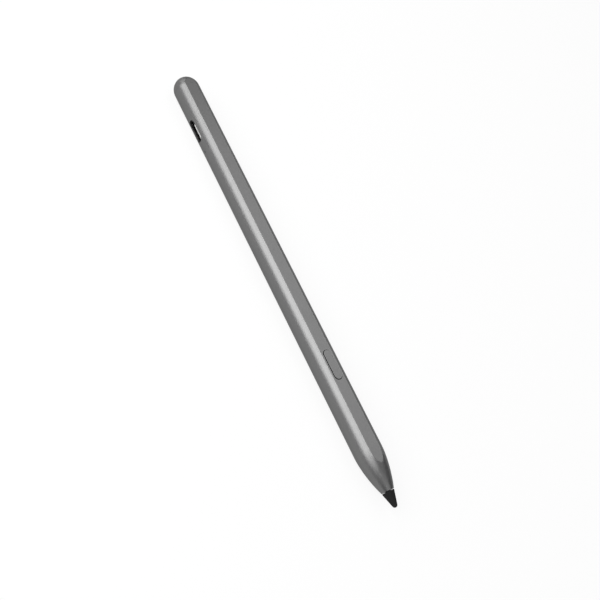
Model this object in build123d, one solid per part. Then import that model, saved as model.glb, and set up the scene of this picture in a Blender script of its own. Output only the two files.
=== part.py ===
from build123d import *
from math import acos, atan2, cos, degrees, hypot, radians, sin, sqrt, tan
import os

# A tablet stylus, in millimetres. While it is built, the pen's axis is the X axis, with the rear
# end at 0 and the writing tip at overall_length. The long flat faces +Z, and the port faces -Y.

# Barrel and outer form
overall_length = 165.0
barrel_diameter = 9.4
barrel_wall = 0.9
flat_depth = 0.45
flat_edge_radius = 0.3
nose_length = 13.0
nose_shoulder_pull = 2.5
nose_lip_pull = 5.0
nose_lip_angle = 20.8
lip_diameter = 4.2
lip_edge_radius = 0.08
overrun = 1.0

# Rear cap
dome_share = 1.064
cap_seam = 0.02
spigot_length = 4.0
spigot_wall = 0.9
spigot_fit = 0.02
cap_hollow_depth = 2.0

# Charging port, a socket of the common reversible size
port_from_seam = 17.6
port_shell_width = 8.94
port_shell_height = 3.16
port_back_gap = 1.2
port_shell_wall = 0.3
port_recess = 0.45
port_clearance = 0.06
port_rim_radius = 0.08
port_leg_width_share = 0.215
port_leg_clearance = 0.1
port_leg_shares = (-0.3, 0.3)
tongue_width = 6.69
tongue_thickness = 0.7
tongue_setback = 0.7
tongue_edge_chamfer = 0.4
tongue_base_depth = 1.8
tongue_fit = 0.02
contact_count = 12
contact_pitch = 0.5
contact_width = 0.25
contact_thickness = 0.05
contact_end_gap = 0.6
contact_setback = 0.3

# Indicator light and its light pipe
indicator_spacing = 8.7
indicator_hole_diameter = 0.8
pipe_clearance = 0.03
pipe_recess = 0.05
pipe_foot_size = 1.1
pipe_head_rise = 0.2
pipe_mirror_chamfer = 0.5
led_length = 0.9
led_width = 0.6
led_height = 0.4
led_lens_share = 0.6
led_gap = 0.05

# Chassis, the moulded sled that carries everything inside the barrel
chassis_clearance = 0.1
stack_gap = 0.15
bulkhead_thickness = 2.0
ledge_length = 2.0
screw_bulkhead_thickness = 2.4
trough_width_share = 0.695
trough_depth_share = 0.643
cradle_floor = 0.45
trough_rib_count = 3
trough_rib_thickness = 0.8
trough_rib_share = 0.61

# Circuit boards and what is soldered to them
board_thickness = 0.8
board_side_gap = 0.25
charge_board_side_gap = 0.73
charge_board_nose = 5.0
main_board_length = 46.0
antenna_length_share = 0.76
antenna_width = 1.6
antenna_height = 0.5
antenna_place_share = 0.68
charger_length = 2.0
charger_width_share = 0.57
charger_height = 0.7
controller_size = 4.0
radio_size = 3.0
crystal_length = 2.0
crystal_width = 1.6
chip_height = 0.7
chip_place_shares = (0.2, 0.5, 0.75)
power_chip_size = 2.6
driver_chip_size = 3.2

# Screws
screw_head_diameter = 1.7
screw_head_height = 0.45
screw_shank_diameter = 1.0
screw_hole_clearance = 0.05
screw_edge_distance = 1.4
charge_screw_grip_share = 0.45
main_screw_place_share = 0.615
main_screw_grip_share = 0.54

# Battery, its protection board and leads
battery_fit = 0.05
battery_edge = 0.3
crimp_from_end = 2.0
crimp_width = 0.8
crimp_depth = 0.25
terminal_diameter = 1.8
terminal_height = 0.4
protection_board_inset = 0.35
lead_diameter = 0.5
lead_spacing = 3.8
lead_landing = 2.5
lead_slot_margin = 0.15

# Magnets that hold the flat against a tablet, in their tray
roof_gap = 0.1
tray_thickness = 0.95
magnet_count = 3
magnet_gap = 4.0
magnet_width = 2.8
magnet_thickness = 0.7
magnet_clearance = 0.05

# Flexible circuits
flex_thickness = 0.12
flex_slot_height = 0.25
flex_wall_gap = 0.12
flex_bend = 0.2
link_flex_width = 1.8
link_flex_landing = 3.0
sensor_flex_width = 1.6
sensor_flex_room = 0.2
sensor_flex_landing = 2.6
sensor_flex_drop = 1.2

# Side button and its switch
button_from_tip = 47.0
button_slot_length = 10.5
button_slot_width = 2.95
button_slot_edge_radius = 0.08
button_gap = 0.15
button_rise = 0.25
button_edge_radius = 0.06
button_travel = 0.2
button_stop_margin = 0.1
flange_gap = 0.05
flange_end_lip = 0.6
flange_side_gap = 0.15
flange_thickness = 0.45
nub_diameter = 1.2
nub_height = 0.35
switch_length = 3.4
switch_width = 2.8
switch_floor = 0.1
switch_cover = 0.2
switch_cavity_diameter = 2.0
plunger_diameter = 1.2
plunger_flange = 0.3
plunger_flange_thickness = 0.12
plunger_clearance = 0.05
snap_dome_thickness = 0.05
snap_dome_gap = 0.02

# Nib and the sprung carrier behind it
nib_head_length = 5.15
nib_step = 0.05
nib_edge = 0.06
nib_tip_radius = 0.85
nib_stem_diameter = 1.8
stem_chamfer = 0.2
nib_core_diameter = 0.5
nib_core_reach = 2.4
tip_travel = 0.15
tip_stop_margin = 0.05
bush_length = 3.0
bush_diameter = 2.7
bush_flange_thickness = 0.5
bush_flange_gap = 0.05
bush_recess = 0.1
stem_clearance = 0.05
holder_reach = 5.7
holder_diameter = 2.8
socket_depth = 4.6
socket_end_gap = 0.1
grip_wall = 0.2
grip_clearance = 0.02
grip_slot = 0.3
grip_setback = 0.3
collar_diameter = 3.4
collar_length = 1.0
shaft_diameter = 1.4
pad_length = 0.5
pad_diameter = 1.3
spring_wire_diameter = 0.28
spring_turns = 4
spring_diameter = 2.4
spring_end_gap = 0.02
washer_thickness = 0.3
washer_bore = 1.7

# Pressure sensor, its housing and the tilt electrode
housing_length = 6.7
housing_front_wall = 0.8
chamber_clearance = 0.2
sensor_thickness = 1.0
sensor_fit = 0.03
snout_length = 6.5
snout_clearance = 0.25
snout_bore_clearance = 0.2
electrode_length = 3.0
electrode_thickness = 0.15

# Heights and radii from the pen's axis
barrel_radius = barrel_diameter / 2
flat_height = barrel_radius - flat_depth
bore_radius = barrel_radius - barrel_wall
bore_flat_height = flat_height - barrel_wall
lip_radius = lip_diameter / 2
chassis_radius = bore_radius - chassis_clearance
roof_z = bore_flat_height - roof_gap
charge_board_top = -port_shell_height / 2
floor_z = charge_board_top - board_thickness
charge_board_width = 2 * (sqrt(chassis_radius**2 - floor_z**2) - charge_board_side_gap)
tray_bottom = roof_z - tray_thickness
battery_top = tray_bottom - flex_slot_height
cradle_bottom = cradle_floor - chassis_radius
battery_radius = (battery_top - cradle_bottom - battery_fit) / 2
battery_z = battery_top - battery_radius
flange_top = bore_flat_height - flange_gap
flange_bottom = flange_top - flange_thickness
nub_bottom = flange_bottom - nub_height
switch_top = nub_bottom - button_travel - button_stop_margin
snap_dome_height = button_travel + button_stop_margin
plunger_base_rise = switch_floor + snap_dome_height + snap_dome_gap
switch_height = plunger_base_rise + plunger_flange_thickness + plunger_clearance + switch_cover
main_board_top = switch_top - switch_height
main_board_bottom = main_board_top - board_thickness
main_board_half_width = sqrt(chassis_radius**2 - main_board_top**2) - board_side_gap
trough_half_width = trough_width_share * chassis_radius
trough_floor_z = -trough_depth_share * chassis_radius
trough_rib_height = trough_rib_share * (main_board_bottom - chip_height - trough_floor_z)
lead_z = main_board_top + lead_diameter / 2
stem_radius = nib_stem_diameter / 2
socket_radius = stem_radius + grip_clearance + grip_wall
chamber_radius = collar_diameter / 2 + chamber_clearance
snout_bore_radius = holder_diameter / 2 + snout_bore_clearance

# Stations along the axis, counted from the rear end
dome_length = dome_share * barrel_radius
spigot_end_x = dome_length + spigot_length
chassis_rear_x = spigot_end_x + stack_gap
charge_board_rear_x = chassis_rear_x + bulkhead_thickness + stack_gap
port_x = dome_length + port_from_seam
indicator_x = port_x + indicator_spacing
charge_board_front_x = indicator_x + charge_board_nose
bay_rear_x = charge_board_front_x + stack_gap
bay_start_x = bay_rear_x + bulkhead_thickness
press_gap = tip_travel + tip_stop_margin
shoulder_x = overall_length - nib_head_length
lip_x = shoulder_x - press_gap
nose_x = lip_x - nose_length
bush_rear_x = lip_x - bush_length
housing_rear_x = nose_x - housing_length
front_bulkhead_x = housing_rear_x - sensor_flex_room
main_board_rear_x = front_bulkhead_x - main_board_length
bay_front_x = main_board_rear_x - stack_gap
bay_end_x = bay_front_x - bulkhead_thickness
protection_board_x = bay_end_x - stack_gap - board_thickness
battery_rear_x = bay_start_x + stack_gap
battery_front_x = protection_board_x - terminal_height
button_x = overall_length - button_from_tip
main_screw_x = front_bulkhead_x - screw_bulkhead_thickness / 2
charge_screw_x = charge_board_rear_x + screw_edge_distance
stop_x = nose_x - housing_front_wall
collar_front_x = stop_x - tip_stop_margin
collar_rear_x = collar_front_x - collar_length
holder_front_x = nose_x + holder_reach
socket_bottom_x = holder_front_x - socket_depth
stem_rear_x = socket_bottom_x + socket_end_gap
sensor_front_x = housing_rear_x + sensor_thickness
washer_front_x = sensor_front_x + washer_thickness
shaft_rear_x = sensor_front_x + press_gap + pad_length
snout_front_x = nose_x + snout_length
electrode_rear_x = snout_front_x - electrode_length

# The nose's inside is a straight cone, one wall inside the chord of the curved outside
lip_chord_radius = lip_radius + (barrel_radius - lip_radius) * bush_length / nose_length
nose_bore_front_radius = lip_chord_radius - barrel_wall


def nose_bore_radius(x):
    """Radius of the hollow in the nose at a station."""
    along = (x - nose_x) / (bush_rear_x - nose_x)
    return bore_radius + (nose_bore_front_radius - bore_radius) * along


def snout_radius(x):
    """Outer radius of the sensor housing's snout, which nests in the nose."""
    return nose_bore_radius(x) - snout_clearance


def d_section(radius, top, bottom=-barrel_diameter):
    """Round section across the pen, cut flat above and, where asked, below."""
    band = Pos(0, (top + bottom) / 2) * Rectangle(2 * (radius + overrun), top - bottom)
    return Circle(radius) & band


def run(section, start_x, end_x):
    """A section carried along the pen from one station to another."""
    return extrude(Plane.YZ.offset(start_x) * section, end_x - start_x)


def rod(radius, start_x, end_x, y=0, z=0):
    """A round rod along the pen."""
    return run(Pos(y, z) * Circle(radius), start_x, end_x)


def turned(*edges):
    """A closed profile of station and radius, spun round the pen's axis."""
    return revolve(make_face(edges), Axis.X)


def turned_points(*points):
    """A profile with straight sides, spun round the pen's axis."""
    return turned(Polyline(*points, close=True))


def block(x_range, y_range, z_range):
    """A box between two limits each way."""
    spans = [high - low for low, high in (x_range, y_range, z_range)]
    middle = [(high + low) / 2 for low, high in (x_range, y_range, z_range)]
    return Pos(*middle) * Box(*spans)


def chip(x, y, length, width, bottom, top):
    """A flat component on a board, centred at x and y."""
    return block((x - length / 2, x + length / 2), (y - width / 2, y + width / 2), (bottom, top))


def above(height):
    """Everything over a height, to cut a flat along the pen."""
    x_span = (-overrun, overall_length + overrun)
    return block(x_span, (-barrel_diameter, barrel_diameter), (height, barrel_diameter))


def post(x, y, radius, bottom, top):
    """A round post across the pen, along Z."""
    return extrude(Plane.XY.offset(bottom) * Pos(x, y) * Circle(radius), top - bottom)


def side_cut(sketch, x):
    """A shape cut through the barrel's wall on the port's side."""
    reach = barrel_radius + overrun - bore_radius / 2
    return extrude(Plane.XZ.offset(bore_radius / 2) * Pos(x, 0) * sketch, reach)


def ribbon(points, width):
    """A flexible circuit that follows points of station and height, with rounded bends."""
    path = FilletPolyline(*[(x, 0, z) for x, z in points], radius=flex_bend)
    section = Plane(path @ 0, x_dir=(0, 1, 0), z_dir=path % 0) * Rectangle(width, flex_thickness)
    return sweep(section, path=path)


def pen_outline():
    """Outer form of cap and barrel in one: dome, long round with its flat, drawn-in nose."""
    dome = EllipticalCenterArc((dome_length, 0), dome_length, barrel_radius, 90, arc_size=90)
    side = Line((dome_length, barrel_radius), (nose_x, barrel_radius))
    pull_radius = lip_radius + nose_lip_pull * tan(radians(nose_lip_angle))
    nose = Bezier(
        (nose_x, barrel_radius),
        (nose_x + nose_shoulder_pull, barrel_radius),
        (lip_x - nose_lip_pull, pull_radius),
        (lip_x, lip_radius),
    )
    ends = Polyline((lip_x, lip_radius), (lip_x, 0), (0, 0))
    form = turned(dome, side, nose, ends) - above(flat_height)
    flat = form.faces().sort_by(Axis.Z)[-1]
    return fillet(flat.edges(), flat_edge_radius)


def rear_cap():
    """Domed end with a hollow spigot that is glued into the barrel."""
    dome = split(pen_outline(), Plane.YZ.offset(dome_length), keep=Keep.BOTTOM)
    spigot = d_section(bore_radius - spigot_fit, bore_flat_height - spigot_fit)
    hollow = d_section(bore_radius - spigot_wall, bore_flat_height - spigot_wall)
    cap = dome + run(spigot, dome_length, spigot_end_x)
    return cap - run(hollow, dome_length - cap_hollow_depth, spigot_end_x + overrun)


def barrel():
    """One-piece tube with its flat and nose, cut for the port, the indicator and the button."""
    shell = split(pen_outline(), Plane.YZ.offset(dome_length + cap_seam), keep=Keep.TOP)
    lip = shell.edges().filter_by(GeomType.CIRCLE).sort_by(Axis.X)[-1]
    shell = fillet(lip, lip_edge_radius)
    hollow = turned_points(
        (dome_length - overrun, 0),
        (dome_length - overrun, bore_radius),
        (nose_x, bore_radius),
        (bush_rear_x, nose_bore_front_radius),
        (bush_rear_x, bush_diameter / 2),
        (lip_x + overrun, bush_diameter / 2),
        (lip_x + overrun, 0),
    )
    shell -= hollow - above(bore_flat_height)
    port_length = port_shell_width + 2 * port_clearance
    port_height = port_shell_height + 2 * port_clearance
    shell -= side_cut(SlotOverall(port_length, port_height), port_x)
    shell -= side_cut(Circle(indicator_hole_diameter / 2), indicator_x)
    slot = Pos(button_x, 0) * SlotOverall(button_slot_length, button_slot_width)
    shell -= extrude(Plane.XY * slot, flat_height + overrun)
    port_rim = [e for e in shell.edges() if on_port_rim(e.center(), port_length, port_height)]
    shell = fillet(port_rim, port_rim_radius)
    button_rim = [e for e in shell.edges() if on_button_rim(e.center())]
    return fillet(button_rim, button_slot_edge_radius)


def on_port_rim(point, length, height):
    """True for a point on the outer edge of the port's opening."""
    outside = hypot(point.Y, point.Z) > (bore_radius + barrel_radius) / 2
    in_length = abs(point.X - port_x) < length / 2 + port_clearance
    return outside and point.Y < 0 and in_length and abs(point.Z) < height / 2 + port_clearance


def on_button_rim(point):
    """True for a point on the outer edge of the button's slot."""
    high = point.Z > (flat_height + bore_flat_height) / 2
    in_length = abs(point.X - button_x) < button_slot_length / 2 + button_gap
    return high and in_length and abs(point.Y) < button_slot_width / 2 + button_gap


def chassis():
    """Sled with a socket stop, a battery cradle, bulkheads and a trough under the main board."""
    sled = run(d_section(chassis_radius, floor_z), chassis_rear_x, nose_x)
    sled += run(d_section(chassis_radius, 0), chassis_rear_x, chassis_rear_x + bulkhead_thickness)
    stop_start_x = port_x - port_shell_width / 2
    stop_end_x = port_x + port_shell_width / 2
    stop = run(d_section(chassis_radius, port_shell_height / 2, floor_z), stop_start_x, stop_end_x)
    stop_y_span = (port_back_y + stack_gap, chassis_radius)
    sled += stop & block((stop_start_x, stop_end_x), stop_y_span, (floor_z, port_shell_height / 2))
    sled += run(d_section(chassis_radius, tray_bottom), bay_rear_x, bay_start_x)
    sled += run(d_section(chassis_radius, tray_bottom), bay_end_x, bay_front_x)
    sled += run(d_section(chassis_radius, battery_z), bay_start_x, battery_front_x)
    sled += run(d_section(chassis_radius, main_board_bottom), bay_front_x, front_bulkhead_x)
    trough_start_x = main_board_rear_x + ledge_length
    trough_end_x = front_bulkhead_x - screw_bulkhead_thickness
    trough_sides = (-trough_half_width, trough_half_width)
    sled -= block((trough_start_x, trough_end_x), trough_sides, (trough_floor_z, main_board_top))
    rib_pitch = (trough_end_x - trough_start_x) / (trough_rib_count + 1)
    for number in range(trough_rib_count):
        rib_x = trough_start_x + rib_pitch * (number + 1)
        rib_span = (rib_x - trough_rib_thickness / 2, rib_x + trough_rib_thickness / 2)
        sled += block(rib_span, trough_sides, (trough_floor_z, trough_floor_z + trough_rib_height))
    sled -= rod(battery_radius + battery_fit, bay_start_x, bay_end_x, z=battery_z)
    flex_half = link_flex_width / 2 + flex_wall_gap
    sled -= block((bay_rear_x, bay_start_x), (-flex_half, flex_half), (battery_top, roof_z))
    slot_half = (lead_spacing + lead_diameter) / 2 + lead_slot_margin
    slot_bottom = main_board_top - lead_slot_margin
    sled -= block((bay_end_x, bay_front_x), (-slot_half, slot_half), (slot_bottom, roof_z))
    for x, y, top, grip in screw_places():
        seat = top - board_thickness
        sled -= post(x, y, screw_shank_diameter / 2, seat - grip, seat)
    return sled


def screw_places():
    """Place, board top and depth of grip of each screw: one on the rear board, a pair on the front."""
    places = [(charge_screw_x, 0, charge_board_top, charge_screw_grip_share * (floor_z + chassis_radius))]
    for side in (-1, 1):
        y = side * main_screw_place_share * main_board_half_width
        places.append((main_screw_x, y, main_board_top, main_screw_grip_share * chassis_radius))
    return places


def board_screws():
    """Three small pan-head screws."""
    screws = []
    for x, y, top, grip in screw_places():
        shank = post(x, y, screw_shank_diameter / 2, top - board_thickness - grip, top)
        screws.append(shank + post(x, y, screw_head_diameter / 2, top, top + screw_head_height))
    return Compound(screws)


def drilled(board):
    """A board with clearance holes for its screws."""
    for x, y, top, grip in screw_places():
        hole_radius = screw_shank_diameter / 2 + screw_hole_clearance
        board -= post(x, y, hole_radius, top - board_thickness - overrun, top + overrun)
    return board


def port_leg(side, share, clearance=0):
    """One leg of the port's shell, from the shell's round end down through the board."""
    outer_x = port_shell_width / 2 + clearance
    inner_x = port_shell_width / 2 - port_shell_wall - clearance
    x_span = sorted((port_x + side * inner_x, port_x + side * outer_x))
    y = share * charge_board_width
    half = port_leg_width_share * charge_board_width / 2 + clearance
    return block(x_span, (y - half, y + half), (floor_z - clearance, 0))


def charge_board():
    """Rear board under the port, slotted for the legs of the port's shell."""
    half = charge_board_width / 2
    board = block((charge_board_rear_x, charge_board_front_x), (-half, half), (floor_z, charge_board_top))
    for side in (-1, 1):
        for share in port_leg_shares:
            board -= port_leg(side, share, port_leg_clearance)
    return drilled(board)


def port_bar(length, height, front, back):
    """A round-ended bar along the port's own axis, between two depths."""
    return extrude(Plane.XZ.offset(-back) * Pos(port_x, 0) * SlotOverall(length, height), back - front)


port_front_y = port_recess - barrel_radius
port_back_y = sqrt(bore_radius**2 - (port_shell_height / 2) ** 2) - port_back_gap
port_inner_width = port_shell_width - 2 * port_shell_wall
port_inner_height = port_shell_height - 2 * port_shell_wall


def port_shell():
    """Drawn metal shell of the port on four legs."""
    shell = port_bar(port_shell_width, port_shell_height, port_front_y, port_back_y)
    for side in (-1, 1):
        for share in port_leg_shares:
            shell += port_leg(side, share)
    mouth_y = port_front_y - overrun
    return shell - port_bar(port_inner_width, port_inner_height, mouth_y, port_back_y + overrun)


def port_tongue():
    """Insulator that closes the shell's back and carries the tongue."""
    base_y = port_back_y - tongue_base_depth
    width = port_inner_width - 2 * tongue_fit
    base = port_bar(width, port_inner_height - 2 * tongue_fit, base_y, port_back_y)
    half = tongue_width / 2
    half_thickness = tongue_thickness / 2
    front_y = port_front_y + tongue_setback
    tongue = block((port_x - half, port_x + half), (front_y, base_y), (-half_thickness, half_thickness))
    corners = tongue.edges().filter_by(Axis.Z).sort_by(Axis.Y)[:2]
    return base + chamfer(corners, tongue_edge_chamfer)


def port_contacts():
    """Two rows of contact strips on the tongue's faces."""
    front_y = port_front_y + tongue_setback + contact_setback
    end_y = port_back_y - tongue_base_depth - contact_end_gap
    strips = []
    for number in range(contact_count):
        x = port_x + (number - (contact_count - 1) / 2) * contact_pitch
        for side in (-1, 1):
            inner = side * tongue_thickness / 2
            z_span = sorted((inner, inner + side * contact_thickness))
            x_span = (x - contact_width / 2, x + contact_width / 2)
            strips.append(block(x_span, (front_y, end_y), z_span))
    return Compound(strips)


led_y = (pipe_foot_size - charge_board_width) / 2


def indicator_led():
    """Small light on the charge board, with a raised lens."""
    lens_base = charge_board_top + led_height * led_lens_share
    lamp = chip(indicator_x, led_y, led_length, led_width, charge_board_top, lens_base)
    lens = chip(
        indicator_x,
        led_y,
        led_length * led_lens_share,
        led_width * led_lens_share,
        lens_base,
        charge_board_top + led_height,
    )
    return lamp + lens


def light_pipe():
    """Clear elbow: a foot over the light, a mirror face, and a pin through the barrel's wall."""
    pin_radius = indicator_hole_diameter / 2 - pipe_clearance
    foot_bottom = charge_board_top + led_height + led_gap
    foot_top = pin_radius + pipe_head_rise
    back_y = led_y + pipe_foot_size / 2
    front_y = led_y - pipe_foot_size / 2
    side = Polyline(
        (front_y, foot_bottom),
        (back_y, foot_bottom),
        (back_y, foot_top - pipe_mirror_chamfer),
        (back_y - pipe_mirror_chamfer, foot_top),
        (front_y, foot_top),
        close=True,
    )
    foot = run(make_face(side), indicator_x - pipe_foot_size / 2, indicator_x + pipe_foot_size / 2)
    tip_depth = barrel_radius - pipe_recess
    pin = extrude(Plane.XZ.offset(-led_y) * Pos(indicator_x, 0) * Circle(pin_radius), tip_depth + led_y)
    return foot + pin


def antenna():
    """Ceramic chip aerial near the plastic rear cap."""
    port_rear_x = port_x - port_shell_width / 2
    x = charge_board_rear_x + antenna_place_share * (port_rear_x - charge_board_rear_x)
    length = antenna_length_share * charge_board_width
    return chip(x, 0, antenna_width, length, charge_board_top, charge_board_top + antenna_height)


def charge_chips():
    """Charging circuit between the port and the indicator."""
    port_end_x = port_x + port_shell_width / 2
    pipe_rear_x = indicator_x - pipe_foot_size / 2
    x = (port_end_x + pipe_rear_x) / 2
    width = charger_width_share * charge_board_width
    return chip(x, 0, charger_length, width, charge_board_top, charge_board_top + charger_height)


def battery_cell():
    """Slim round cell with a rolled crimp and a raised terminal at its front end."""
    crimp_front_x = battery_front_x - crimp_from_end
    crimp_rear_x = crimp_front_x - crimp_width
    crimp_radius = battery_radius - crimp_depth
    can = turned_points(
        (battery_rear_x, 0),
        (battery_rear_x, battery_radius - battery_edge),
        (battery_rear_x + battery_edge, battery_radius),
        (crimp_rear_x - crimp_depth, battery_radius),
        (crimp_rear_x, crimp_radius),
        (crimp_front_x, crimp_radius),
        (crimp_front_x + crimp_depth, battery_radius),
        (battery_front_x - battery_edge, battery_radius),
        (battery_front_x, battery_radius - battery_edge),
        (battery_front_x, terminal_diameter / 2),
        (protection_board_x, terminal_diameter / 2),
        (protection_board_x, 0),
    )
    return Pos(0, 0, battery_z) * can


def protection_board():
    """Upright board at the cell's terminal, which stands on the sled's floor."""
    section = d_section(chassis_radius - protection_board_inset, battery_top, floor_z)
    return run(section, protection_board_x, protection_board_x + board_thickness)


def battery_leads():
    """Two wires from the protection board to pads on the main board."""
    start_x = protection_board_x + board_thickness
    end_x = main_board_rear_x + lead_landing
    leads = [rod(lead_diameter / 2, start_x, end_x, side * lead_spacing / 2, lead_z) for side in (-1, 1)]
    return Compound(leads)


magnet_pitch = (bay_front_x - bay_rear_x) / magnet_count


def magnet_bars(clearance):
    """The magnets, or their pockets when there is clearance."""
    bars = []
    bottom = roof_z - magnet_thickness - clearance
    for number in range(magnet_count):
        x = bay_rear_x + magnet_pitch * (number + 1 / 2)
        length = magnet_pitch - magnet_gap + 2 * clearance
        bars.append(chip(x, 0, length, magnet_width + 2 * clearance, bottom, roof_z))
    return bars


def magnet_tray():
    """Roof over the battery, seated on two bulkheads, with a pocket for each magnet."""
    tray = run(d_section(chassis_radius, roof_z, tray_bottom), bay_rear_x, bay_front_x)
    for pocket in magnet_bars(magnet_clearance):
        tray -= pocket
    return tray


def magnets():
    """Bar magnets under the flat."""
    return Compound(magnet_bars(0))


def main_board():
    """Long front board on the sled's rails, under the button."""
    half = main_board_half_width
    x_span = (main_board_rear_x, front_bulkhead_x - flex_bend)
    return drilled(block(x_span, (-half, half), (main_board_bottom, main_board_top)))


def main_chips():
    """Controller, radio and crystal ahead of the switch, power chip behind it, driver below."""
    span_start_x = button_x + switch_length / 2
    span = main_screw_x - screw_head_diameter / 2 - span_start_x
    sizes = ((controller_size, controller_size), (radio_size, radio_size), (crystal_length, crystal_width))
    top = main_board_top + chip_height
    chips = []
    for share, (length, width) in zip(chip_place_shares, sizes):
        chips.append(chip(span_start_x + share * span, 0, length, width, main_board_top, top))
    landing_x = main_board_rear_x + max(lead_landing, link_flex_landing + flex_wall_gap)
    power_x = (landing_x + button_x - switch_length / 2) / 2
    chips.append(chip(power_x, 0, power_chip_size, power_chip_size, main_board_top, top))
    under = main_board_bottom - chip_height
    chips.append(chip(button_x, 0, driver_chip_size, driver_chip_size, under, main_board_bottom))
    return Compound(chips)


def link_flex():
    """Ribbon from the charge board, over the battery, to the main board."""
    start_x = indicator_x + pipe_foot_size
    rise_x = bay_rear_x - flex_wall_gap
    over_z = (battery_top + tray_bottom) / 2
    drop_x = bay_front_x + flex_wall_gap
    low_z = charge_board_top + flex_thickness / 2
    land_z = main_board_top + flex_thickness / 2
    points = (
        (start_x, low_z),
        (rise_x, low_z),
        (rise_x, over_z),
        (drop_x, over_z),
        (drop_x, land_z),
        (drop_x + link_flex_landing, land_z),
    )
    return ribbon(points, link_flex_width)


def sensor_flex():
    """Ribbon from behind the pressure sensor, round the main board's end, to its top."""
    rise_x = front_bulkhead_x + sensor_flex_room / 2
    land_z = main_board_top + flex_thickness / 2
    points = ((rise_x, -sensor_flex_drop), (rise_x, land_z), (rise_x - sensor_flex_landing, land_z))
    return ribbon(points, sensor_flex_width)


def button_cap():
    """Pill-shaped key with a flange that keeps it in the barrel and a nub over the switch."""
    length = button_slot_length - 2 * button_gap
    width = button_slot_width - 2 * button_gap
    height = flat_height + button_rise - flange_top
    key = extrude(Plane.XY.offset(flange_top) * Pos(button_x, 0) * SlotOverall(length, width), height)
    key = fillet(key.faces().sort_by(Axis.Z)[-1].edges(), button_edge_radius)
    flange_width = 2 * (sqrt(bore_radius**2 - flange_top**2) - flange_side_gap)
    flange = SlotOverall(length + 2 * flange_end_lip, flange_width)
    key += extrude(Plane.XY.offset(flange_bottom) * Pos(button_x, 0) * flange, flange_thickness)
    return key + post(button_x, 0, nub_diameter / 2, nub_bottom, flange_bottom)


def switch_body():
    """Low push switch: a case with a round cavity and a smaller hole in its cover."""
    case = chip(button_x, 0, switch_length, switch_width, main_board_top, switch_top)
    cover_bottom = switch_top - switch_cover
    case -= post(button_x, 0, switch_cavity_diameter / 2, main_board_top + switch_floor, cover_bottom)
    return case - post(button_x, 0, plunger_diameter / 2 + plunger_clearance, cover_bottom, switch_top)


def switch_plunger():
    """Plunger with a flange that stays under the switch's cover."""
    base_z = main_board_top + plunger_base_rise
    flange_z = base_z + plunger_flange_thickness
    base = post(button_x, 0, plunger_diameter / 2 + plunger_flange / 2, base_z, flange_z)
    return base + post(button_x, 0, plunger_diameter / 2, base_z, nub_bottom)


def cap_sphere(rim_radius, rise):
    """Radius of the ball whose cap has this rim and rise."""
    return (rim_radius**2 + rise**2) / (2 * rise)


def switch_dome():
    """Domed snap spring on the switch's floor."""
    ball = cap_sphere(switch_cavity_diameter / 2 - plunger_clearance, snap_dome_height)
    floor = main_board_top + switch_floor
    shell = Sphere(ball) - Sphere(ball - snap_dome_thickness)
    return Pos(button_x, 0, floor + snap_dome_height - ball) * shell & above(floor)


def sensor_housing():
    """Block on the sled's end with a spring chamber, and a snout that nests in the nose."""
    housing = run(d_section(chassis_radius, roof_z, floor_z), housing_rear_x, nose_x)
    snout = turned_points(
        (nose_x, 0),
        (nose_x, snout_radius(nose_x)),
        (electrode_rear_x, snout_radius(electrode_rear_x)),
        (electrode_rear_x, snout_radius(electrode_rear_x) - electrode_thickness),
        (snout_front_x, snout_radius(snout_front_x) - electrode_thickness),
        (snout_front_x, 0),
    )
    housing += snout - above(roof_z)
    housing -= rod(chamber_radius, housing_rear_x, stop_x)
    return housing - rod(snout_bore_radius, stop_x, snout_front_x)


def tilt_electrode():
    """Thin cone of metal round the front of the snout."""
    return turned_points(
        (electrode_rear_x, snout_radius(electrode_rear_x)),
        (electrode_rear_x, snout_radius(electrode_rear_x) - electrode_thickness),
        (snout_front_x, snout_radius(snout_front_x) - electrode_thickness),
        (snout_front_x, snout_radius(snout_front_x)),
    )


def pressure_sensor():
    """Disc sensor at the back of the spring chamber."""
    return rod(chamber_radius - sensor_fit, housing_rear_x, sensor_front_x)


def spring_washer():
    """Ring that seats the spring on the sensor's rim."""
    ring = Circle(chamber_radius - sensor_fit) - Circle(washer_bore / 2)
    return run(ring, sensor_front_x, washer_front_x)


def return_spring():
    """Coil spring round the carrier's shaft, between washer and collar."""
    wire_radius = spring_wire_diameter / 2
    start_x = washer_front_x + wire_radius + spring_end_gap
    end_x = collar_rear_x - wire_radius - spring_end_gap
    length = end_x - start_x
    pitch = length / spring_turns
    coil = Helix(pitch, length, spring_diameter / 2, center=(start_x, 0, 0), direction=(1, 0, 0))
    return sweep(Plane(coil @ 0, z_dir=coil % 0) * Circle(wire_radius), path=coil, is_frenet=True)


def nib_holder():
    """Sprung carrier: a socket for the nib, a collar that meets the stop, and a shaft."""
    return turned_points(
        (shaft_rear_x, 0),
        (shaft_rear_x, shaft_diameter / 2),
        (collar_rear_x, shaft_diameter / 2),
        (collar_rear_x, collar_diameter / 2),
        (collar_front_x, collar_diameter / 2),
        (collar_front_x, holder_diameter / 2),
        (holder_front_x, holder_diameter / 2),
        (holder_front_x, socket_radius),
        (socket_bottom_x, socket_radius),
        (socket_bottom_x, 0),
    )


def nib_grip():
    """Split metal sleeve in the socket that grips the stem and carries its signal."""
    inner_radius = stem_radius + grip_clearance
    end_x = holder_front_x - grip_setback
    sleeve = run(Circle(socket_radius) - Circle(inner_radius), socket_bottom_x, end_x)
    return sleeve - block((socket_bottom_x, end_x), (0, socket_radius), (-grip_slot / 2, grip_slot / 2))


def pressure_pad():
    """Domed rubber foot on the shaft, which closes on the sensor."""
    ball = cap_sphere(pad_diameter / 2, pad_length)
    tip_x = shaft_rear_x - pad_length
    return Pos(tip_x + ball, 0, 0) * Sphere(ball) & rod(pad_diameter / 2, tip_x, shaft_rear_x)


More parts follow.
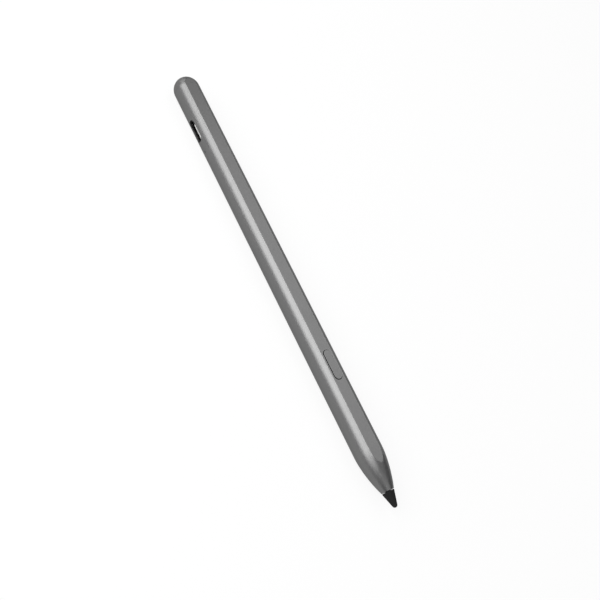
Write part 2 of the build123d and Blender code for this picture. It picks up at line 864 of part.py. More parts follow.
def guide_bush():
    """Flanged sleeve in the lip that the nib's stem slides in."""
    flange_radius = nose_bore_front_radius - bush_flange_gap
    flange_x = bush_rear_x - bush_flange_thickness
    return turned_points(
        (flange_x, stem_radius + stem_clearance),
        (flange_x, flange_radius),
        (bush_rear_x, flange_radius),
        (bush_rear_x, bush_diameter / 2),
        (lip_x - bush_recess, bush_diameter / 2),
        (lip_x - bush_recess, stem_radius + stem_clearance),
    )


def nib():
    """Writing tip: a rounded cone with a square shoulder, on a long stem."""
    core_radius = nib_core_diameter / 2
    base_radius = lip_radius - nib_step
    tip_x = overall_length - nib_tip_radius
    cone_x = shoulder_x + nib_edge
    reach = hypot(tip_x - cone_x, base_radius)
    touch_angle = atan2(base_radius, cone_x - tip_x) - acos(nib_tip_radius / reach)
    touch = (tip_x + nib_tip_radius * cos(touch_angle), nib_tip_radius * sin(touch_angle))
    back = Polyline(
        touch,
        (cone_x, base_radius),
        (shoulder_x, base_radius - nib_edge),
        (shoulder_x, stem_radius),
        (stem_rear_x + stem_chamfer, stem_radius),
        (stem_rear_x, stem_radius - stem_chamfer),
        (stem_rear_x, core_radius),
        (shoulder_x + nib_core_reach, core_radius),
        (shoulder_x + nib_core_reach, 0),
        (overall_length, 0),
    )
    return turned(back, CenterArc((tip_x, 0), nib_tip_radius, 0, degrees(touch_angle)))


def nib_core():
    """Conducting rod down the middle of the nib."""
    return rod(nib_core_diameter / 2, stem_rear_x, shoulder_x + nib_core_reach)


pieces = (
    barrel,
    rear_cap,
    chassis,
    charge_board,
    port_shell,
    port_tongue,
    port_contacts,
    indicator_led,
    light_pipe,
    antenna,
    charge_chips,
    battery_cell,
    protection_board,
    battery_leads,
    magnet_tray,
    magnets,
    main_board,
    main_chips,
    board_screws,
    link_flex,
    sensor_flex,
    button_cap,
    switch_body,
    switch_plunger,
    switch_dome,
    sensor_housing,
    tilt_electrode,
    pressure_sensor,
    spring_washer,
    return_spring,
    nib_holder,
    nib_grip,
    pressure_pad,
    guide_bush,
    nib,
    nib_core,
)

# The finished pen lies on its round side: origin under its middle, tip at +X, flat up
lying = Pos(-overall_length / 2, 0, barrel_radius)
os.makedirs("parts", exist_ok=True)
for piece in pieces:
    export_step(lying * piece(), f"parts/{piece.__name__}.step")
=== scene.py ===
import bmesh
import bpy
from math import pi, radians
from mathutils import Matrix, Quaternion, Vector


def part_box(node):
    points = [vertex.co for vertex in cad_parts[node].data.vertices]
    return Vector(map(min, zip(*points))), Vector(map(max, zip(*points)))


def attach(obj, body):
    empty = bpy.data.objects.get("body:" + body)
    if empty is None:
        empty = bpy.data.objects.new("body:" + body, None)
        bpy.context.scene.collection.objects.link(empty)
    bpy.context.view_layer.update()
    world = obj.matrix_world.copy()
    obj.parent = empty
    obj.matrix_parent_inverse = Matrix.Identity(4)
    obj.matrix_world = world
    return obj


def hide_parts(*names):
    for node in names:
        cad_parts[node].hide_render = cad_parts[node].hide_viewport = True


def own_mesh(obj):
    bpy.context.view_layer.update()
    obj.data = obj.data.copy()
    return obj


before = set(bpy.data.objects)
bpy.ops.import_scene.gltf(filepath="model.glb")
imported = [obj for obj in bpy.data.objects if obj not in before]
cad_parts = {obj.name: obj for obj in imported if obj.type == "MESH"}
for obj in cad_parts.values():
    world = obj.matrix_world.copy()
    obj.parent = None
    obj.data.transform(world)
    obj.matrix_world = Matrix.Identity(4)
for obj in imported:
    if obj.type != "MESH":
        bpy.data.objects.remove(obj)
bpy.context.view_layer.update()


# The sled, the magnets' tray and the sensor's housing are moulded in dark glass-filled plastic.
# Short glass fibres show as fine pale flecks in a spark-eroded skin. The sled slides into the
# barrel from the rear and carries all the rest.
class Wire:
    """One output of a shader node. Sums and products of wires add Math nodes."""

    def __init__(self, tree, socket):
        self.tree = tree
        self.socket = socket

    def node(self, kind, settings, sockets, out=0):
        """A new node of this kind, with its settings, then the values or wires of its sockets."""
        made = self.tree.nodes.new(kind)
        for name, value in settings.items():
            setattr(made, name, value)
        for name, value in sockets.items():
            if isinstance(value, Wire):
                self.tree.links.new(value.socket, made.inputs[name])
            else:
                made.inputs[name].default_value = value
        return Wire(self.tree, made.outputs[out])

    def math(self, operation, *values):
        """A Math node on these values or wires."""
        return self.node("ShaderNodeMath", {"operation": operation}, dict(enumerate(values)))

    def __add__(self, other):
        return self.math("ADD", self, other)

    __radd__ = __add__

    def __sub__(self, other):
        return self.math("SUBTRACT", self, other)

    def __rsub__(self, other):
        return self.math("SUBTRACT", other, self)

    def __mul__(self, other):
        return self.math("MULTIPLY", self, other)

    __rmul__ = __mul__

    def __abs__(self):
        return self.math("ABSOLUTE", self)


mm = 0.001


def new_finish(name, **steady):
    """A material with its steady values on the shader, its shader, and its place on the object."""
    material = bpy.data.materials.new(name)
    material.use_nodes = True
    tree = material.node_tree
    shader = tree.nodes["Principled BSDF"]
    for socket, value in steady.items():
        shader.inputs[socket.replace("_", " ")].default_value = value
    place = tree.nodes.new("ShaderNodeTexCoord").outputs["Object"]
    return material, shader, Wire(tree, place)


def feed(shader, **wires):
    """Links wires to the shader's sockets."""
    for socket, wire in wires.items():
        wire.tree.links.new(wire.socket, shader.inputs[socket.replace("_", " ")])


def dress(material, *names):
    """Puts a finish on solids of the frame."""
    for name in names:
        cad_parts[name].material_slots[0].material = material


def speckle(place, size, detail=2.0, stretch=(1, 1, 1)):
    """Noise of a feature size, drawn out along an axis where stretch is small."""
    drawn = place.node("ShaderNodeMapping", {}, {"Vector": place, "Scale": stretch})
    sockets = {"Vector": drawn, "Scale": 1 / size, "Detail": detail}
    return place.node("ShaderNodeTexNoise", {}, sockets)


def fade(value, low, high):
    """0 at low and 1 at high, with a smooth change between. High may be the smaller one."""
    sockets = {"Value": value, "From Min": low, "From Max": high}
    return value.node("ShaderNodeMapRange", {"interpolation_type": "SMOOTHSTEP"}, sockets)


def tint(share, first, second):
    """First colour where the share is 0, second where it is 1."""
    sockets = {0: share, 6: first, 7: second}
    return share.node("ShaderNodeMix", {"data_type": "RGBA"}, sockets, 2)


def relief(height, depth):
    """A surface normal from a height of 0 to 1 and its real depth."""
    sockets = {"Height": height, "Strength": 1.0, "Distance": depth}
    return height.node("ShaderNodeBump", {}, sockets)


dark_plastic = (0.045, 0.045, 0.05, 1)
pale_fibre = (0.16, 0.16, 0.17, 1)
glass_filled, shader, place = new_finish("glass_filled_plastic", Metallic=0.0)
fibres = fade(speckle(place, 0.05 * mm, stretch=(0.15, 1, 1)), low=0.58, high=0.7)
eroded = speckle(place, 0.04 * mm, detail=4.0)
feed(
    shader,
    Base_Color=tint(fibres, dark_plastic, pale_fibre),
    Roughness=0.55 + 0.15 * eroded,
    Normal=relief(eroded, depth=0.006 * mm),
)
dress(glass_filled, "chassis", "magnet_tray", "sensor_housing")


# The circuit boards are glass cloth and resin under a green solder mask, routed to shape. Copper
# tracks stand up under the mask in broken rows along the board, and some runs end in a tinned via.
def axis_of(place, axis):
    """One coordinate of a place."""
    return place.node("ShaderNodeSeparateXYZ", {}, {"Vector": place}, "XYZ".index(axis))


mask_green = (0.012, 0.085, 0.045, 1)
track_green = (0.03, 0.17, 0.08, 1)
via_tin = (0.6, 0.59, 0.55, 1)
row_pitch = 0.45 * mm
run_length = 3.2 * mm
run_stagger = 0.37
via_place = 0.92
bare_runs = 0.35
runs_without_via = 0.7
board_finish, shader, place = new_finish("solder_mask", IOR=1.5)
row = axis_of(place, "Y") * (1 / row_pitch)
row_number = row.math("FLOOR", row)
run = axis_of(place, "X") * (1 / run_length) + run_stagger * row_number
run_number = run.math("FLOOR", run)
off_track = abs(row - row_number - 0.5) * row_pitch
along_run = abs(run - run_number - via_place) * run_length
run_cell = place.node("ShaderNodeCombineXYZ", {}, {"X": run_number, "Y": row_number})
lot = place.node("ShaderNodeTexWhiteNoise", {"noise_dimensions": "2D"}, {"Vector": run_cell})
tracks = fade(off_track, low=0.12 * mm, high=0.08 * mm) * lot.math("GREATER_THAN", lot, bare_runs)
from_via = off_track.math("SQRT", off_track * off_track + along_run * along_run)
vias = fade(from_via, low=0.17 * mm, high=0.14 * mm)
vias = vias * lot.math("GREATER_THAN", lot, runs_without_via)
cloth = speckle(place, 0.1 * mm, detail=1.0)
mask_colour = tint(tracks * (0.7 + 0.3 * cloth), mask_green, track_green)
feed(
    shader,
    Base_Color=tint(vias, mask_colour, via_tin),
    Metallic=vias,
    Roughness=0.28 + 0.14 * cloth,
    Normal=relief(tracks + 0.2 * cloth, depth=0.018 * mm),
)
dress(board_finish, "charge_board", "main_board", "protection_board")

# Chips are moulded in black resin with a matt ejected face, soldered flat on the boards. The aerial
# is a fired white ceramic bar with silvered ends, and the indicator is cast in pale resin.
resin_black = (0.018, 0.018, 0.02, 1)
resin_dust = (0.04, 0.04, 0.042, 1)
chip_finish, shader, place = new_finish("chip_resin", Metallic=0.0)
resin = speckle(place, 0.03 * mm, detail=3.0)
feed(
    shader,
    Base_Color=tint(resin, resin_black, resin_dust),
    Roughness=0.5 + 0.2 * resin,
    Normal=relief(resin, depth=0.004 * mm),
)
dress(chip_finish, "charge_chips", "main_chips")

ceramic_white = (0.74, 0.75, 0.71, 1)
fired_silver = (0.62, 0.61, 0.58, 1)
aerial_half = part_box("antenna")[1].y
aerial_finish, shader, place = new_finish("aerial_ceramic", IOR=1.6)
silvered = fade(abs(axis_of(place, "Y")), low=0.8 * aerial_half, high=0.82 * aerial_half)
fired = speckle(place, 0.06 * mm, detail=3.0)
feed(
    shader,
    Base_Color=tint(silvered, ceramic_white, fired_silver),
    Metallic=silvered,
    Roughness=0.34 + 0.12 * fired,
    Normal=relief(fired, depth=0.005 * mm),
)
dress(aerial_finish, "antenna")

cast_resin = (0.8, 0.79, 0.7, 1)
phosphor_yellow = (0.86, 0.78, 0.42, 1)
lamp_finish, shader, place = new_finish("lamp_resin", IOR=1.52, Transmission_Weight=0.2)
phosphor = speckle(place, 0.05 * mm)
feed(
    shader,
    Base_Color=tint(phosphor, cast_resin, phosphor_yellow),
    Roughness=0.2 + 0.1 * phosphor,
)
dress(lamp_finish, "indicator_led")

# The charging socket's shell is drawn from steel with black nickel plate and soldered through the
# rear board on four legs. Draw lines run into its mouth. Its tongue is moulded in pale resin and
# carries gold-flashed strips, which plugs rub bright.
nickel_dark = (0.085, 0.085, 0.088, 1)
nickel_light = (0.12, 0.12, 0.122, 1)
socket_finish, shader, place = new_finish("socket_steel", Metallic=1.0)
draw_lines = speckle(place, 0.03 * mm, detail=3.0, stretch=(1, 0.05, 1))
plate_mottle = speckle(place, 0.6 * mm)
feed(
    shader,
    Base_Color=tint(plate_mottle, nickel_dark, nickel_light),
    Roughness=0.24 + 0.16 * draw_lines,
    Normal=relief(draw_lines, depth=0.002 * mm),
)
dress(socket_finish, "port_shell")

tongue_grey = (0.5, 0.5, 0.49, 1)
tongue_pale = (0.58, 0.58, 0.57, 1)
tongue_finish, shader, place = new_finish("tongue_resin", Metallic=0.0)
flow_lines = speckle(place, 0.08 * mm, detail=3.0, stretch=(1, 0.2, 1))
feed(
    shader,
    Base_Color=tint(flow_lines, tongue_grey, tongue_pale),
    Roughness=0.4 + 0.15 * flow_lines,
    Normal=relief(flow_lines, depth=0.003 * mm),
)
dress(tongue_finish, "port_tongue")

gold_dull = (0.78, 0.55, 0.2, 1)
gold_bright = (0.9, 0.7, 0.34, 1)
gold_finish, shader, place = new_finish("contact_gold", Metallic=1.0)
rubbed = speckle(place, 0.04 * mm, stretch=(1, 0.04, 1))
feed(
    shader,
    Base_Color=tint(rubbed, gold_dull, gold_bright),
    Roughness=0.18 + 0.2 * rubbed,
    Normal=relief(rubbed, depth=0.001 * mm),
)
dress(gold_finish, "port_contacts")

# The battery is a slim drawn can, crimped round its front end, with a welded protection board. Two
# leads in soft red and black insulation run from it to the front board.
can_grey = (0.56, 0.57, 0.58, 1)
can_pale = (0.68, 0.68, 0.68, 1)
can_finish, shader, place = new_finish("cell_can", Metallic=1.0)
can_lines = speckle(place, 0.05 * mm, detail=3.0, stretch=(0.02, 1, 1))
can_dull = speckle(place, 3.0 * mm)
feed(
    shader,
    Base_Color=tint(can_dull, can_grey, can_pale),
    Roughness=0.26 + 0.12 * can_lines + 0.08 * can_dull,
    Normal=relief(can_lines, depth=0.003 * mm),
)
dress(can_finish, "battery_cell")

lead_red = (0.42, 0.018, 0.015, 1)
lead_black = (0.02, 0.02, 0.022, 1)
lead_finish, shader, place = new_finish("lead_insulation", Metallic=0.0)
extruded = speckle(place, 0.06 * mm, stretch=(0.1, 1, 1))
black_side = fade(axis_of(place, "Y"), low=-0.1 * mm, high=0.1 * mm)
feed(
    shader,
    Base_Color=tint(black_side, lead_red, lead_black),
    Roughness=0.4 + 0.2 * extruded,
    Normal=relief(extruded, depth=0.004 * mm),
)
dress(lead_finish, "battery_leads")

# Bar magnets lie in the tray under the flat. They are sintered, ground and nickel-plated, with a
# faint grind pattern and dulled plating.
magnet_dull = (0.6, 0.58, 0.54, 1)
magnet_bright = (0.72, 0.7, 0.66, 1)
magnet_finish, shader, place = new_finish("magnet_nickel", Metallic=1.0)
ground = speckle(place, 0.04 * mm, stretch=(0.05, 1, 1))
dulled = speckle(place, 1.2 * mm, detail=3.0)
feed(
    shader,
    Base_Color=tint(dulled, magnet_dull, magnet_bright),
    Roughness=0.15 + 0.15 * dulled + 0.08 * ground,
    Normal=relief(ground, depth=0.002 * mm),
)
dress(magnet_finish, "magnets")

# Small pan-head screws hold the boards to the sled and cut their own thread in it. They are
# headed from steel wire and zinc-plated, which leaves the heads a little mottled.
zinc_grey = (0.42, 0.42, 0.42, 1)
zinc_pale = (0.58, 0.57, 0.54, 1)
screw_finish, shader, place = new_finish("screw_steel", Metallic=1.0)
zinc = speckle(place, 0.12 * mm, detail=4.0)
feed(
    shader,
    Base_Color=tint(zinc, zinc_grey, zinc_pale),
    Roughness=0.28 + 0.2 * zinc,
    Normal=relief(zinc, depth=0.004 * mm),
)
dress(screw_finish, "board_screws")

# The ribbons are copper tracks laminated between amber films. The tracks run along the ribbon and
# stand up a little under the film.
film_amber = (0.42, 0.17, 0.025, 1)
film_over_copper = (0.62, 0.3, 0.07, 1)
track_pitch = 0.36 * mm
ribbon_finish, shader, place = new_finish("flex_film", IOR=1.6)
strands = place.node(
    "ShaderNodeTexWave",
    {"bands_direction": "Y", "wave_profile": "SIN"},
    {"Vector": place, "Scale": pi / (10 * track_pitch), "Distortion": 0.0},
)
film = speckle(place, 0.2 * mm)
copper_lines = fade(strands, low=0.45, high=0.6)
feed(
    shader,
    Base_Color=tint(copper_lines, film_amber, film_over_copper),
    Roughness=0.22 + 0.14 * film,
    Normal=relief(copper_lines, depth=0.012 * mm),
)
dress(ribbon_finish, "link_flex", "sensor_flex")

# The push switch under the button has a black heat-proof case and plunger. Its snap dome is pressed
# from thin stainless strip, rests on the case's floor, and flattens when the button goes down.
case_black = (0.035, 0.035, 0.036, 1)
case_grey = (0.065, 0.065, 0.066, 1)
switch_finish, shader, place = new_finish("switch_plastic", Metallic=0.0)
case_grain = speckle(place, 0.03 * mm, detail=3.0)
feed(
    shader,
    Base_Color=tint(case_grain, case_black, case_grey),
    Roughness=0.45 + 0.2 * case_grain,
    Normal=relief(case_grain, depth=0.003 * mm),
)
dress(switch_finish, "switch_body", "switch_plunger")

steel_grey = (0.5, 0.5, 0.49, 1)
steel_bright = (0.64, 0.64, 0.62, 1)
spring_finish, shader, place = new_finish("spring_steel", Metallic=1.0)
rolled = speckle(place, 0.03 * mm, detail=3.0, stretch=(0.1, 1, 1))
feed(
    shader,
    Base_Color=tint(rolled, steel_grey, steel_bright),
    Roughness=0.2 + 0.15 * rolled,
    Normal=relief(rolled, depth=0.0015 * mm),
)
dress(spring_finish, "spring_washer")


def new_piece(name, shape, finish):
    """An object from a bmesh, with faces turned outwards and smooth."""
    bmesh.ops.recalc_face_normals(shape, faces=shape.faces)
    mesh = bpy.data.meshes.new(name)
    shape.to_mesh(mesh)
    shape.free()
    mesh.shade_smooth()
    mesh.materials.append(finish)
    piece = bpy.data.objects.new(name, mesh)
    bpy.context.scene.collection.objects.link(piece)
    return piece


dome_low, dome_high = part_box("switch_dome")
dome_middle = (dome_low + dome_high) / 2
dome_rim = (dome_high.x - dome_low.x) / 2
dome_rise = dome_high.z - dome_low.z
dome_ball = (dome_rim**2 + dome_rise**2) / (2 * dome_rise)
dome_strip = 0.05 * mm
dome_foot = Vector((dome_middle.x, dome_middle.y, dome_low.z))
dome = bmesh.new()
bmesh.ops.create_uvsphere(dome, u_segments=64, v_segments=96, radius=dome_ball)
bmesh.ops.translate(dome, verts=dome.verts, vec=dome_foot + Vector((0, 0, dome_rise - dome_ball)))
bmesh.ops.bisect_plane(
    dome,
    geom=dome.verts[:] + dome.edges[:] + dome.faces[:],
    dist=1e-9,
    plane_co=dome_foot,
    plane_no=(0, 0, 1),
    clear_inner=True,
)
bmesh.ops.recalc_face_normals(dome, faces=dome.faces)
bmesh.ops.solidify(dome, geom=dome.faces[:], thickness=dome_strip)
snap_dome = new_piece("snap_dome", dome, spring_finish)
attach(snap_dome, "pen_body")
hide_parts("switch_dome")
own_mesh(snap_dome)

# The front unit reads the nib. A rolled copper cone senses tilt round the housing's snout, a
# laminated disc senses pressure, and a wound stainless spring between washer and collar brings the
# nib's carrier forward again.
copper_dark = (0.72, 0.34, 0.18, 1)
copper_bright = (0.84, 0.46, 0.29, 1)
copper_finish, shader, place = new_finish("electrode_copper", Metallic=1.0)
tarnish = speckle(place, 0.8 * mm, detail=4.0)
feed(
    shader,
    Base_Color=tint(tarnish, copper_dark, copper_bright),
    Roughness=0.24 + 0.2 * tarnish,
    Normal=relief(tarnish, depth=0.004 * mm),
)
dress(copper_finish, "tilt_electrode")

disc_brown = (0.24, 0.22, 0.19, 1)
disc_pale = (0.36, 0.33, 0.28, 1)
disc_finish, shader, place = new_finish("sensor_disc", Metallic=0.0)
laminate = speckle(place, 0.15 * mm, detail=3.0)
feed(
    shader,
    Base_Color=tint(laminate, disc_brown, disc_pale),
    Roughness=0.4 + 0.2 * laminate,
    Normal=relief(laminate, depth=0.005 * mm),
)
dress(disc_finish, "pressure_sensor")

coil_low, coil_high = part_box("return_spring")
coil_middle = (coil_low + coil_high) / 2
wire_radius = 0.14 * mm
coil_turns = 4
steps_per_turn = 48
coil_steps = coil_turns * steps_per_turn
coil_run = coil_high.x - coil_low.x - 2 * wire_radius
coil_radius = coil_high.z - coil_middle.z - wire_radius
coil_start = Vector((coil_low.x + wire_radius, coil_middle.y, coil_middle.z + coil_radius))
coil = bmesh.new()
bmesh.ops.create_circle(coil, cap_ends=True, radius=wire_radius, segments=16)
bmesh.ops.rotate(coil, verts=coil.verts, cent=(0, 0, 0), matrix=Matrix.Rotation(pi / 2, 3, "X"))
bmesh.ops.translate(coil, verts=coil.verts, vec=coil_start)
bmesh.ops.spin(
    coil,
    geom=coil.verts[:] + coil.edges[:] + coil.faces[:],
    cent=coil_middle,
    axis=(1, 0, 0),
    dvec=(coil_run / coil_steps, 0, 0),
    angle=2 * pi * coil_turns,
    steps=coil_steps,
)
spring_coil = new_piece("spring_coil", coil, spring_finish)
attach(spring_coil, "pen_body")
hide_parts("return_spring")
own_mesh(spring_coil)

# The nib's carrier is turned from natural low-friction plastic. A split sleeve of rolled brass in
# its socket grips the stem, and a moulded silicone foot on its shaft closes on the sensor.
carrier_grey = (0.46, 0.46, 0.44, 1)
carrier_pale = (0.54, 0.54, 0.52, 1)
carrier_finish, shader, place = new_finish("carrier_plastic", Metallic=0.0)
turned_lines = speckle(place, 0.04 * mm, stretch=(1, 0.1, 0.1))
feed(
    shader,
    Base_Color=tint(turned_lines, carrier_grey, carrier_pale),
    Roughness=0.35 + 0.15 * turned_lines,
    Normal=relief(turned_lines, depth=0.003 * mm),
)
dress(carrier_finish, "nib_holder")

brass_dull = (0.66, 0.46, 0.16, 1)
brass_bright = (0.78, 0.6, 0.28, 1)
sleeve_finish, shader, place = new_finish("grip_brass", Metallic=1.0)
sleeve_wear = speckle(place, 0.05 * mm, detail=3.0, stretch=(0.06, 1, 1))
feed(
    shader,
    Base_Color=tint(sleeve_wear, brass_dull, brass_bright),
    Roughness=0.22 + 0.18 * sleeve_wear,
    Normal=relief(sleeve_wear, depth=0.002 * mm),
)
dress(sleeve_finish, "nib_grip")


def grey(level):
    """A neutral colour."""
    return (level, level, level, 1)


rubber_black = grey(0.022)
rubber_bloom = grey(0.045)
rubber_finish, shader, place = new_finish("pad_rubber", Metallic=0.0)
bloom = speckle(place, 0.1 * mm, detail=3.0)
feed(
    shader,
    Base_Color=tint(bloom, rubber_black, rubber_bloom),
    Roughness=0.65 + 0.2 * bloom,
    Normal=relief(bloom, depth=0.004 * mm),
)
dress(rubber_finish, "pressure_pad")

# The bush in the lip is moulded in black low-friction plastic and pushed in from inside the nose
# until its flange seats. The stem slides in its bore.
bush_black = (0.02, 0.02, 0.021, 1)
bush_grey = (0.034, 0.034, 0.035, 1)
bush_finish, shader, place = new_finish("bush_plastic", Metallic=0.0)
bush_grain = speckle(place, 0.05 * mm, detail=3.0)
feed(
    shader,
    Base_Color=tint(bush_grain, bush_black, bush_grey),
    Roughness=0.35 + 0.2 * bush_grain,
    Normal=relief(bush_grain, depth=0.002 * mm),
)
dress(bush_finish, "guide_bush")

# The nib is moulded in hard black plastic with a fine matt skin. Writing rubs its rounded end
# smoother and a little greyer. A carbon-loaded rod in its middle carries the signal.
nib_black = grey(0.011)
nib_grey = grey(0.016)
nib_rubbed = grey(0.022)
nib_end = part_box("nib")[1].x
nib_finish, shader, place = new_finish("nib_plastic", Metallic=0.0, Specular_IOR_Level=0.07)
matt_skin = speckle(place, 0.06 * mm, detail=4.0)
moulded_tone = speckle(place, 0.9 * mm)
rubbed_end = fade(axis_of(place, "X"), low=nib_end - 0.9 * mm, high=nib_end - 0.2 * mm)
skin_colour = tint(moulded_tone, nib_black, nib_grey)
feed(
    shader,
    Base_Color=tint(rubbed_end * (0.4 + 0.6 * matt_skin), skin_colour, nib_rubbed),
    Roughness=0.5 + 0.16 * matt_skin - 0.14 * rubbed_end,
    Normal=relief(matt_skin, depth=0.004 * mm),
)
dress(nib_finish, "nib")

carbon_black = (0.012, 0.012, 0.013, 1)
carbon_grey = (0.03, 0.03, 0.031, 1)
core_finish, shader, place = new_finish("core_carbon", Metallic=0.0)
carbon = speckle(place, 0.04 * mm, detail=3.0, stretch=(0.2, 1, 1))
feed(
    shader,
    Base_Color=tint(carbon, carbon_black, carbon_grey),
    Roughness=0.4 + 0.2 * carbon,
    Normal=relief(carbon, depth=0.002 * mm),
)
dress(core_finish, "nib_core")

# Barrel, rear cap and button are moulded in dark plastic and sprayed together in satin metallic
# grey. Fine flakes lie in the paint and its film has a slight orange peel. The spray doesn't reach
# into the slots and the bore, and this dark bare plastic, with the cap's spigot and the button's
# sides, is also painted shade in these recesses and gaps. Handling polishes the edges of the flat
# and the openings' rims.
flake_dark = grey(0.157)
flake_bright = grey(0.189)
cloud_grey = grey(0.163)
worn_grey = grey(0.3)
# Dark bare plastic in the slots, bore, seam and button gap, also painted shade there.
bare_and_shade_dark = (0.02, 0.02, 0.021, 1)
bare_roughness = 0.62
barrel_low, barrel_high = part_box("barrel")
pen_axis_z = sum(corner.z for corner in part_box("nib")) / 2
flat_z = barrel_high.z
flat_half = 2.0 * mm
bore_radius = barrel_high.y - 0.9 * mm
nose_start = 64.15 * mm
port_low, port_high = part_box("port_shell")
port_x = (port_low.x + port_high.x) / 2
port_half_length = 4.53 * mm
port_half_width = 1.64 * mm
button_low, button_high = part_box("button_cap")
button_x = (button_low.x + button_high.x) / 2
button_half_length = 5.25 * mm
button_half_width = 1.475 * mm


def round_slot(along, across, half_length, half_width):
    """Distance from the outline of a slot with round ends, in metres."""
    past = along.math("MAXIMUM", abs(along) - (half_length - half_width), 0)
    return along.math("SQRT", past * past + across * across) - half_width


def from_port(x, y, z):
    """Distance from the outline of the socket's slot, and 1 on its side of the pen."""
    outline = round_slot(x - port_x, z - pen_axis_z, port_half_length, port_half_width)
    return outline, fade(y, low=-2.4 * mm, high=-2.8 * mm)


def from_button(x, y, z):
    """Distance from the outline of the button's slot, and 1 near the flat."""
    outline = round_slot(x - button_x, y, button_half_length, button_half_width)
    return outline, fade(z, low=7.0 * mm, high=7.5 * mm)


def barrel_bare_and_shade(x, y, z):
    """1 where the spray doesn't reach: bore, socket slot and button slot. Also painted shade there.
    """
    height = z - pen_axis_z
    radius = y.math("SQRT", y * y + height * height)
    tube = fade(radius, low=bore_radius + 0.2 * mm, high=bore_radius + 0.1 * mm)
    tube = tube * fade(x, low=nose_start, high=nose_start - 1.0 * mm)
    lip_bore = fade(radius, low=1.45 * mm, high=1.36 * mm)
    bare_and_shade = tube.math("MAXIMUM", tube, lip_bore)
    for outline, side in (from_port(x, y, z), from_button(x, y, z)):
        slot = fade(outline, low=0.04 * mm, high=-0.01 * mm) * side
        bare_and_shade = bare_and_shade.math("MAXIMUM", bare_and_shade, slot)
    return bare_and_shade


def cap_bare_and_shade(x, y, z):
    """1 on the rear cap's bare spigot, also painted shade in the seam."""
    return fade(x, low=barrel_low.x - 0.02 * mm, high=barrel_low.x)


def button_bare_and_shade(x, y, z):
    """1 on the button's bare sides, below the flat, and on its flange, also painted shade in its
    gap.
    """
    return fade(z, low=flat_z + 0.03 * mm, high=flat_z - 0.03 * mm)


def satin_paint(name, where_bare_and_shade):
    """The sprayed finish, the dark bare plastic where it stops, also painted shade, and handling's
    wear.
    """
    material, shader, place = new_finish(name, IOR=1.5, Specular_Tint=grey(0.6))
    x, y, z = (axis_of(place, axis) for axis in "XYZ")
    bare_and_shade = where_bare_and_shade(x, y, z)
    flake_cells = {"Vector": place, "Scale": 1 / (0.06 * mm)}
    flakes = place.node("ShaderNodeTexVoronoi", {}, flake_cells, 1)
    flake_light = place.node("ShaderNodeSeparateColor", {}, {"Color": flakes})
    peel = speckle(place, 0.7 * mm, detail=1.0)
    cloud = speckle(place, 12.0 * mm)
    handled = speckle(place, 4.0 * mm, detail=3.0)
    near_top = fade(z, low=flat_z - 0.25 * mm, high=flat_z - 0.05 * mm)
    wear = fade(abs(abs(y) - flat_half), low=0.22 * mm, high=0.04 * mm) * near_top
    wear = wear + fade(x, low=barrel_high.x - 0.35 * mm, high=barrel_high.x - 0.05 * mm)
    for outline, side in (from_port(x, y, z), from_button(x, y, z)):
        wear = wear + 0.6 * fade(abs(outline), low=0.4 * mm, high=0.08 * mm) * side
    worn = wear.math("MINIMUM", wear, 1.0) * (0.35 + 0.65 * handled)
    flaked = tint(flake_light, flake_dark, flake_bright)
    clouded = tint(0.35 * cloud, flaked, cloud_grey)
    painted = tint(0.3 * worn, clouded, worn_grey)
    satin = 0.36 + 0.05 * handled + 0.04 * flake_light - 0.08 * worn
    feed(
        shader,
        Base_Color=tint(bare_and_shade, painted, bare_and_shade_dark),
        Metallic=1 - bare_and_shade,
        Roughness=satin + bare_and_shade * (bare_roughness - satin),
        Normal=relief(peel + 0.1 * flake_light, depth=0.0012 * mm),
    )
    return material


dress(satin_paint("body_paint", barrel_bare_and_shade), "barrel")
dress(satin_paint("cap_paint", cap_bare_and_shade), "rear_cap")
dress(satin_paint("button_paint", button_bare_and_shade), "button_cap")

# The indicator's light pipe is moulded in smoked clear plastic, and its polished end is the dark
# dot beside the socket.
smoke_dark = (0.012, 0.012, 0.013, 1)
smoke_haze = (0.03, 0.03, 0.032, 1)
smoked_finish, shader, place = new_finish("smoked_clear", Metallic=0.0, IOR=1.49)
haze = speckle(place, 0.1 * mm)
feed(
    shader,
    Base_Color=tint(haze, smoke_dark, smoke_haze),
    Roughness=0.12 + 0.1 * haze,
)
dress(smoked_finish, "light_pipe")


# The floor is a plain pale sheet that runs out to the horizon. The camera and reflections see it
# white, with the pen's soft shadow kept, and other light meets it as pale paint.
def in_sight(wire):
    """1 for rays of the camera, of reflections and through clear pieces, 0 for other light."""
    camera_ray, glossy_ray, through_ray = (
        wire.node("ShaderNodeLightPath", {}, {}, kind)
        for kind in ("Is Camera Ray", "Is Glossy Ray", "Is Transmission Ray")
    )
    return wire.math("MAXIMUM", wire.math("MAXIMUM", camera_ray, glossy_ray), through_ray)


floor_reach = 30.0
floor_paint = grey(0.8)
floor_shade = grey(0.1)
floor_glow = 0.865
floor = bmesh.new()
bmesh.ops.create_grid(floor, x_segments=1, y_segments=1, size=floor_reach)
floor_finish, shader, place = new_finish("floor_sheet", Base_Color=floor_paint, Roughness=0.9)
shaded = place.node("ShaderNodeBsdfDiffuse", {}, {"Color": floor_shade})
glow = place.node("ShaderNodeEmission", {}, {"Color": grey(1), "Strength": floor_glow})
white = place.node("ShaderNodeAddShader", {}, {0: shaded, 1: glow})
pale = Wire(place.tree, shader.outputs["BSDF"])
sheet = place.node("ShaderNodeMixShader", {}, {0: in_sight(place), 1: pale, 2: white})
surface = place.tree.nodes["Material Output"].inputs["Surface"]
place.tree.links.new(sheet.socket, surface)
floor_sheet = new_piece("floor_sheet", floor, floor_finish)

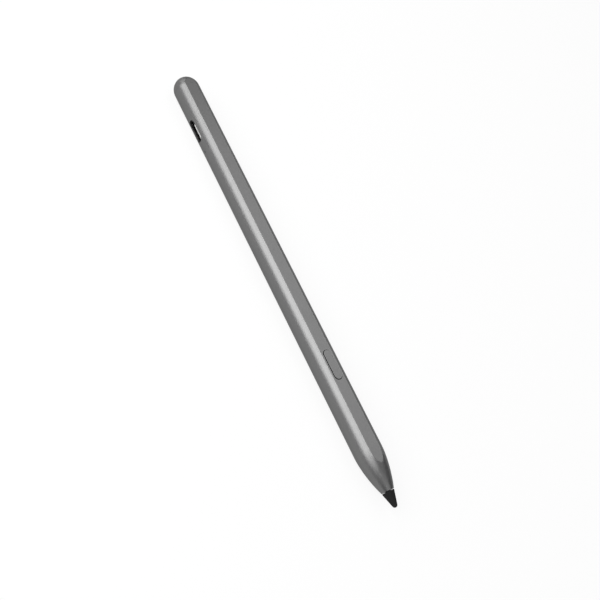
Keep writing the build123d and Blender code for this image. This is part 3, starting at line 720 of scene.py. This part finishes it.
# The room round the pen is dim and grey. A low sweep stands behind the floor all round, as pale as
# the floor's far edge, so that the camera and reflections see no line between the two.
room_light = 0.18
sweep_light = 0.883
sweep_full = 0.085
sweep_top = 0.13
world = bpy.data.worlds.new("room")
bpy.context.scene.world = world
world.use_nodes = True
tree = world.node_tree
room = tree.nodes["Background"]
room.inputs["Color"].default_value = grey(1)
room.inputs["Strength"].default_value = room_light
dim = Wire(tree, room.outputs["Background"])
way = Wire(tree, tree.nodes.new("ShaderNodeTexCoord").outputs["Generated"])
low_sky = fade(axis_of(way, "Z"), low=sweep_top, high=sweep_full) * in_sight(way)
sweep = way.node("ShaderNodeBackground", {}, {"Color": grey(1), "Strength": sweep_light})
sky = way.node("ShaderNodeMixShader", {}, {0: low_sky, 1: dim, 2: sweep})
tree.links.new(sky.socket, tree.nodes["World Output"].inputs["Surface"])


# A large soft box over the camera's side makes the long highlight, and a weaker one over the far
# side lights the flat. Two more light the dome and the nose from the pen's ends.
def soft_box(name, place, aim, length, width, radiance):
    """An area light of this radiance, which is a quarter of its watts per square metre."""
    lamp = bpy.data.lights.new(name, "AREA")
    lamp.shape = "RECTANGLE"
    lamp.size = length
    lamp.size_y = width
    lamp.energy = 4 * radiance * length * width
    toward = (Vector(aim) - Vector(place)).normalized()
    across = Vector((1, 0, 0)) - toward * toward.x
    across.normalize()
    turn = Matrix((across, -toward.cross(across), -toward)).transposed()
    light = bpy.data.objects.new(name, lamp)
    light.matrix_world = Matrix.Translation(place) @ turn.to_4x4()
    bpy.context.scene.collection.objects.link(light)


soft_box("key_box", (-0.21, -0.4, 0.45), (-0.21, 0, 0), length=0.74, width=0.56, radiance=3.49)
soft_box("far_box", (-0.17, 0.28, 0.53), (-0.17, 0, 0), length=0.58, width=0.49, radiance=1.26)
soft_box("rear_box", (-0.75, -0.1, 0.3), (-0.08, 0, 0), length=0.5, width=0.5, radiance=1.18)
soft_box("front_box", (0.46, 0.0, 0.46), (0.07, 0, 0), length=0.3, width=0.6, radiance=0.91)

# The camera looks down on the pen from its front left, a little under 0.3 m away. It is turned so
# that the pen runs down the picture, from the dome at the upper left to the nib at the lower right.
camera_place = (0.089005, -0.143601, 0.220841)
camera_aim = Vector((-0.28849, 0.53699, -0.79273))
picture_turn = radians(40.175)
camera = bpy.data.cameras.new("camera")
camera.lens = 50
camera.sensor_width = 36
camera_view = bpy.data.objects.new("camera", camera)
camera_view.location = camera_place
camera_view.rotation_mode = "QUATERNION"
looking = camera_aim.to_track_quat("-Z", "Y")
camera_view.rotation_quaternion = looking @ Quaternion((0, 0, 1), picture_turn)
bpy.context.scene.collection.objects.link(camera_view)
bpy.context.scene.camera = camera_view
bpy.context.scene.view_settings.view_transform = "Standard"
